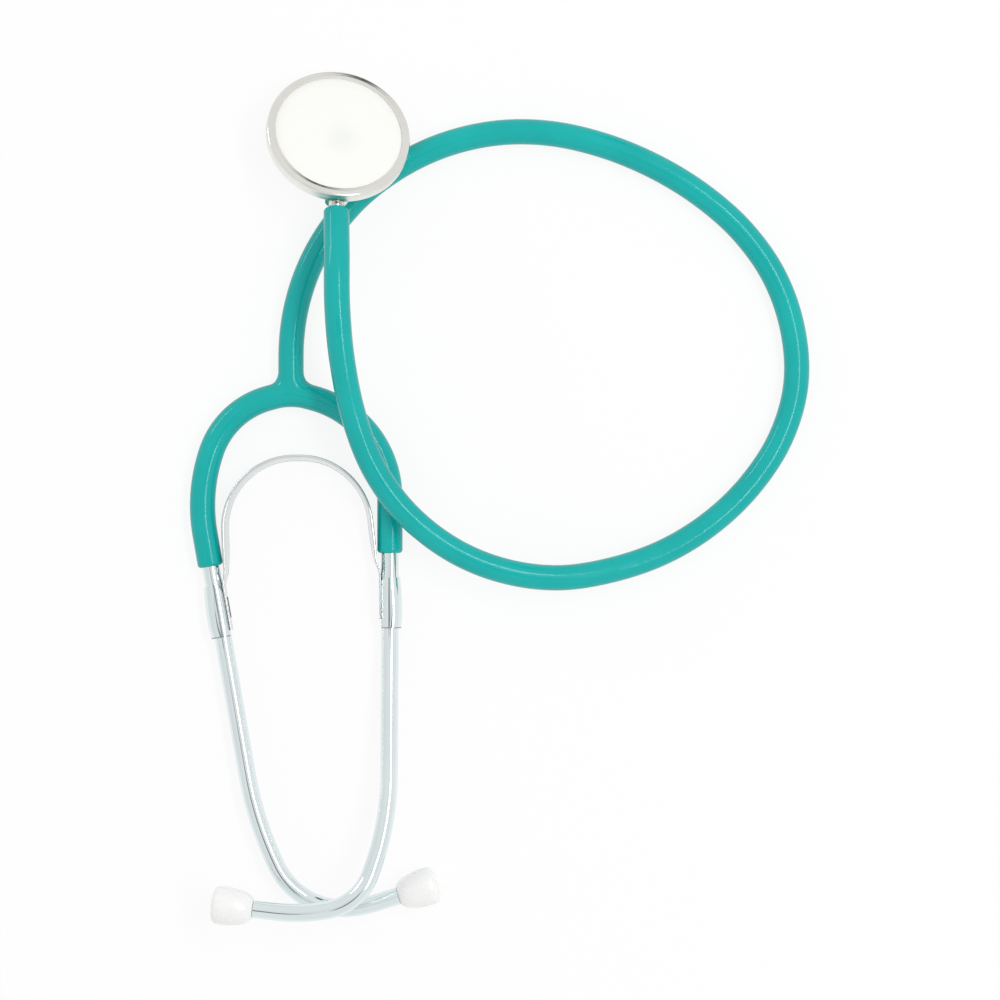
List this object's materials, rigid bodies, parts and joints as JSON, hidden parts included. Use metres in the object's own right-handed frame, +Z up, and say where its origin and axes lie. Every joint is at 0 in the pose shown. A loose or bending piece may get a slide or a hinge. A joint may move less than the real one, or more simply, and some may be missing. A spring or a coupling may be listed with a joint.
{
  "type": "toy stethoscope",
  "caption": "Toy stethoscope with a moulded yoke and hose, sprung chrome ear tubes with mushroom ear tips, and a one-sided chestpiece with a knurled ring and diaphragm.",
  "frame": {"origin": "on the table, below the middle of the rigid pieces, without the hose", "axes": "+Y from the ear tips to the chestpiece, +X towards the loop of the hose, +Z up from the table"},
  "size_m": [0.2042, 0.2793, 0.0326],
  "materials": {
    "hose_plastic": "glossy translucent vinyl, blue-green",
    "chrome_head": "satin chrome",
    "chrome_tube": "bright chrome",
    "spring_steel": "bright rolled strip",
    "diaphragm_film": "white film, half gloss",
    "insert_brass": "turned",
    "tip_plastic": "white, glossy"
  },
  "bodies": {
    "yoke_and_hose": {"yoke_junction": "hose_plastic", "chest_hose": "hose_plastic", "hose_end": "hose_plastic", "leaf_spring": "spring_steel"},
    "ear_left": {"arm_left": "hose_plastic", "ear_tube_left": "chrome_tube", "tip_insert_left": "insert_brass", "spring_clip_left": "chrome_tube"},
    "ear_right": {"arm_right": "hose_plastic", "ear_tube_right": "chrome_tube", "tip_insert_right": "insert_brass", "spring_clip_right": "chrome_tube"},
    "chestpiece": {"head_body": "chrome_head", "chest_stem": "chrome_head"},
    "diaphragm": {"diaphragm": "diaphragm_film"},
    "ring": {"retaining_ring": "chrome_head"},
    "tip_left": {"ear_tip_left": "tip_plastic"},
    "tip_right": {"ear_tip_right": "tip_plastic"}
  },
  "joints": [
    {"name": "left_ear_spread", "type": "hinge", "parent": "yoke_and_hose", "child": "ear_left", "pos_m": [-0.0119, 0.0195, 0.0042], "axis": [0, 0, -1], "range_deg": [0, 32], "stiffness_Nm_per_rad": 0.3, "deforming": ["arm_left", "leaf_spring"]},
    {"name": "right_ear_spread", "type": "hinge", "parent": "yoke_and_hose", "child": "ear_right", "pos_m": [0.0026, 0.0195, 0.0042], "axis": [0, 0, 1], "range_deg": [0, 32], "stiffness_Nm_per_rad": 0.3, "deforming": ["arm_right", "leaf_spring"]},
    {"name": "chestpiece_swivel", "type": "hinge", "parent": "yoke_and_hose", "child": "chestpiece", "pos_m": [0.0074, 0.115, 0.00846], "axis": [0.0318, -0.9094, 0.4147], "range_deg": [0, 80]},
    {"name": "diaphragm_lift", "type": "slide", "parent": "chestpiece", "child": "diaphragm", "axis": [0.2022, 0.4122, 0.8884], "range_m": [0, 0.003]},
    {"name": "ring_turn", "type": "hinge", "parent": "diaphragm", "child": "ring", "pos_m": [0.0074, 0.115, 0.00846], "axis": [0.2022, 0.4122, 0.8884], "range_deg": [0, 1080]},
    {"name": "ear_tip_left_turn", "type": "hinge", "parent": "ear_left", "child": "tip_left", "pos_m": [0.02802, -0.13222, 0.0064], "axis": [0.9521, 0.3057, -0.0033], "continuous": true},
    {"name": "ear_tip_right_turn", "type": "hinge", "parent": "ear_right", "child": "tip_right", "pos_m": [-0.01903, -0.13507, 0.01846], "axis": [-0.993, 0.1168, -0.0195], "continuous": true}
  ],
  "couplings": [
    {"joint": "diaphragm_lift", "follows": "ring_turn", "m_per_rad": 0.000159}
  ]
}
